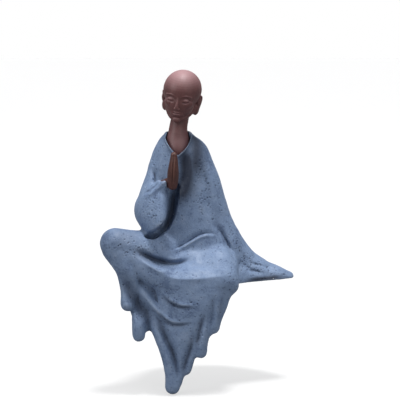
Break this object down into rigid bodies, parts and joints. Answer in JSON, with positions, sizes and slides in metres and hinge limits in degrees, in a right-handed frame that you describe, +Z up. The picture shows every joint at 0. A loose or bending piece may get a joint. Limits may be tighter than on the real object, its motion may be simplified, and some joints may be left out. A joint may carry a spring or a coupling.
{
  "type": "seated monk figurine",
  "caption": "Bald monk figurine that sits on a shelf's edge with pressed hands and one raised knee, its robe's hem hanging over the edge and its train lying beside it.",
  "frame": {"origin": "on the flat seat under the robe, 17.2 mm behind the shelf's front edge", "axes": "+Z up along the figure, -Y the way it faces, +X along the shelf's edge to the side where the train lies"},
  "size_m": [0.0918, 0.0572, 0.1504],
  "materials": {
    "robe_clay": "coarse, pitted blue-grey clay, matt with a soft sheen",
    "head_clay": "smooth purple-brown clay, semi-matt",
    "hand_clay": "smooth red-brown clay, semi-matt"
  },
  "bodies": {
    "root": {"robe": "robe_clay", "head": "head_clay", "hands": "hand_clay"}
  },
  "joints": []
}
